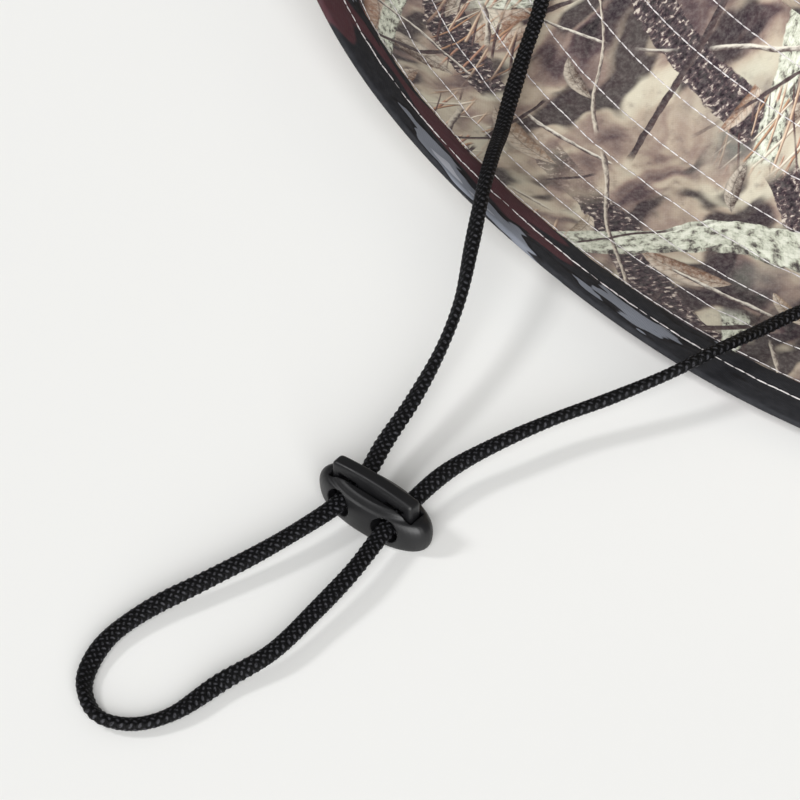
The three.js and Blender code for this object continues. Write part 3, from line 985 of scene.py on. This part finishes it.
def printGround(tree, x, y, look):  # light and dark out of focus
    sway = flatNoise(tree, x / 13 + 4, y / 13) * 14
    blur = flatNoise(tree, (x + sway) / 9, (y - sway) / 15, 2.4)
    color = ramp(tree, blur, look["ground"])
    shade = flatNoise(tree, (x + sway) / 10 + 9, (y - sway) / 18)
    color = mixed(tree, shade.ramped(0.515, 0.6) * 0.94, color, linear(look["shade"]))
    cool = flatNoise(tree, x / 21, y / 26 + 4, 1.0)
    color = mixed(tree, cool.ramped(0.54, 0.68) * 0.35, color, linear(look["cool"]))
    mottle = flatNoise(tree, x / 2.6 + 3, y / 2.6, 3.0, 0.6)
    return mixed(tree, mottle.ramped(0.5, 0.8) * 0.45, color, linear(look["mottle"]))


def printDarkStems(tree, x, y, look, color):
    cover, across, along = stems(tree, x, y, darkStem)
    flake = flatNoise(tree, along / 0.75, across * 3, 2.5, 0.6)
    return mixed(tree, cover, color, ramp(tree, flake + abs(across) * 0.07, look["darkBark"]))


def printLeaves(tree, x, y, look, color, speck):
    for layer in leafLayers:
        cover, across, veins, pick = leaves(tree, x, y, layer)
        light = (across * 0.7 + speck * 2.2).ramped(0.4, 1.7) * 0.7
        lit = mixed(tree, light, ramp(tree, pick, look["leaf"]), linear(look["leafLight"]))
        dark = (veins * 0.5).most(abs(across).ramped(0.55, 0.95) * 0.5)
        color = mixed(tree, cover, color, mixed(tree, dark, lit, linear(look["leafDark"])))
    return color


def printPaleStems(tree, x, y, look, color):
    for family in paleStems:
        cover, across, along = stems(tree, x, y, paleStem | family)
        flake = flatNoise(tree, along / 1.6, across * 2.2, 3.0, 0.65) - across.ramped(0.45, 1.0) * 0.12
        color = mixed(tree, cover, color, ramp(tree, flake, look["paleBark"]))
    return color


def printNeedles(tree, x, y, color):  # in patches
    patch = flatNoise(tree, x / 30 + 2.2, y / 30, 1.0).ramped(0.55, 0.62)
    for turn, light, dark in needles:
        family = needle | {"turn": turn, "seed": turn + 60.5}
        cover, across, _ = stems(tree, x, y, family)
        tone = mixed(tree, across.ramped(-0.7, 0.9), linear(light), linear(dark))
        color = mixed(tree, cover * patch, color, tone)
    return color


def printTwigs(tree, x, y, look, color):
    for turn, seed, code in twigs:
        cover, across, along = stems(tree, x, y, twig | {"turn": turn, "seed": seed})
        knots = flatNoise(tree, along / 1.3, across * 0.6)
        tone = (across * 0.5 + knots * 1.6).ramped(0.35, 1.25)
        tint = mixed(tree, tone, linear(code), linear(look["twigShade"]))
        color = mixed(tree, cover, color, tint)
    return color


def makePrintGroup(look):
    sockets = {"X": "Float", "Y": "Float", "Fade": "Float"}
    tree, given, result = newGroup("leafPrint", sockets, {"Color": "Color"})
    x, y = given["X"], given["Y"]
    speck = flatNoise(tree, x / 0.9, y / 0.9, 3.0, 0.7)
    color = printGround(tree, x, y, look)
    color = printDarkStems(tree, x, y, look, color)
    color = printLeaves(tree, x, y, look, color, speck)
    color = printPaleStems(tree, x, y, look, color)
    color = printNeedles(tree, x, y, color)
    color = printTwigs(tree, x, y, look, color)
    color = mixed(tree, speck.ramped(0.35, 0.75) * 0.1, color, linear(look["dust"]))
    feed(result.inputs["Color"], mixed(tree, given["Fade"], color, linear(look["faded"])))
    return tree


def makeWeaveGroup():
    sockets = {"X": "Float", "Y": "Float", "Pitch": "Float"}
    tree, given, result = newGroup("plainWeave", sockets, {"Height": "Float"})
    u, v = (given[way] / given["Pitch"] * (2 * math.pi) for way in ("X", "Y"))
    over = u.math("SINE") * v.math("SINE")
    slub = flatNoise(tree, given["X"] / 3, given["Y"] / 0.5)
    feed(result.inputs["Height"], over * 0.25 + slub * 0.7)
    return tree


def makeClothMaterial(name, fade, groups):
    material, tree, shader = newMaterial(name)
    x, y = clothPlace(tree)
    height = grouped(tree, groups["weave"], "Height", X=x, Y=y, Pitch=0.55)
    creases = flatNoise(tree, x / 7, y / 7, 3.0)
    setShader(
        shader,
        Base_Color=grouped(tree, groups["print"], "Color", X=x, Y=y, Fade=fade),
        Roughness=0.82,
        Specular_IOR_Level=0.3,
        Sheen_Weight=0.08,
        Normal=bump(tree, height * 0.12 + creases, 0.0004, 0.55),
    )
    return material


# the other materials


def makeTapeMaterial(look, groups):
    material, tree, shader = newMaterial("bindingTape")
    x, y = clothPlace(tree)
    red = flatNoise(tree, x / 21 + 3, y / 8, 1.5)
    color = mixed(tree, red.ramped(0.55, 0.57), linear(look["black"]), linear(look["red"]))
    pale = flatNoise(tree, x / 20 + 7.4, (y + 3.3) / 7, 3.4, 0.58)
    for low, high, code in look["patches"]:
        color = mixed(tree, pale.ramped(low, high), color, linear(code))
    fine = flatNoise(tree, x / 0.8, y / 0.8)
    color = mixed(tree, fine.ramped(0.3, 0.8) * 0.08, color, linear(look["dust"]))
    height = grouped(tree, groups["weave"], "Height", X=x, Y=y, Pitch=0.4)
    setShader(
        shader,
        Base_Color=color,
        Roughness=0.7,
        Specular_IOR_Level=0.3,
        Normal=bump(tree, height, 0.0001, 0.4),
    )
    return material


def makeThreadMaterial():
    material, tree, shader = newMaterial("thread")
    tone = noise(tree, objectPlace(tree), 900.0)
    color = mixed(tree, tone.ramped(0.3, 0.7), linear("#bab4b5"), linear("#e3dfde"))
    setShader(shader, Base_Color=color, Roughness=0.6, Specular_IOR_Level=0.3)
    return material


def makePlasticMaterial():
    material, tree, shader = newMaterial("blackPlastic")
    place = objectPlace(tree)
    grain = noise(tree, place, 3500.0)
    worn = noise(tree, place, 260.0, 3.0)
    setShader(
        shader,
        Base_Color=linear("#0e0e10"),
        Roughness=worn.ramped(0.3, 0.7, 0.38, 0.5),
        Specular_IOR_Level=0.45,
        Normal=bump(tree, grain, 0.00002, 0.5),
    )
    return material


print("brim and binding")
groups = {"print": makePrintGroup(printLook), "weave": makeWeaveGroup()}
outerCloth = makeClothMaterial("printedCloth", 0.0, groups)
innerCloth = makeClothMaterial("clothBack", 0.62, groups)
makeBrim(outerCloth)
makeBinding(makeTapeMaterial(tapeLook, groups))

print("crown")
makeCrownSide(outerCloth, innerCloth)
makeCrownTop(outerCloth, innerCloth)

print("stitching")
makeStitching(makeThreadMaterial())

print("lock")
lockBody, lockBar = makeLock(makePlasticMaterial())


# where it stands

studioLook = {
    "floorHalf": 6,
    "floorColors": ("#efefed", "#f1f1ef"),
    "worldColor": (1, 1, 0.985, 1),
    "worldStrength": 0.19,
}


def makeFloor(look):
    half = look["floorHalf"]
    corners = [(-half, -half, 0), (half, -half, 0), (half, half, 0), (-half, half, 0)]
    floor = meshObject("table", corners, [(0, 1, 2, 3)])
    bpy.context.scene.collection.objects.link(floor)
    material, tree, shader = newMaterial("table")
    tone = noise(tree, objectPlace(tree), 9.0)
    color = mixed(tree, tone, *(linear(code) for code in look["floorColors"]))
    setShader(shader, Base_Color=color, Roughness=0.6, Specular_IOR_Level=0.2)
    floor.data.materials.append(material)


def makeSun(name, azimuth, elevation, strength, width):  # azimuth of where it stands, 0 at +X
    light = bpy.data.lights.new(name, "SUN")
    light.energy, light.angle = strength, math.radians(width)
    sun = bpy.data.objects.new(name, light)
    bpy.context.scene.collection.objects.link(sun)
    a, e = math.radians(azimuth), math.radians(elevation)
    toward = Vector((math.cos(a) * math.cos(e), math.sin(a) * math.cos(e), math.sin(e)))
    sun.rotation_mode = "QUATERNION"
    sun.rotation_quaternion = toward.to_track_quat("Z", "Y")


def makeWorld(look):
    world = bpy.data.worlds.new("studio")
    bpy.context.scene.world = world
    world.use_nodes = True
    background = world.node_tree.nodes["Background"]
    background.inputs["Color"].default_value = look["worldColor"]
    background.inputs["Strength"].default_value = look["worldStrength"]


print("floor and light")
makeFloor(studioLook)
makeSun("left", azimuth=222, elevation=46, strength=0.85, width=12)
makeSun("front", azimuth=317, elevation=29, strength=4.15, width=52)
makeWorld(studioLook)
bpy.context.scene.view_settings.view_transform = "Standard"
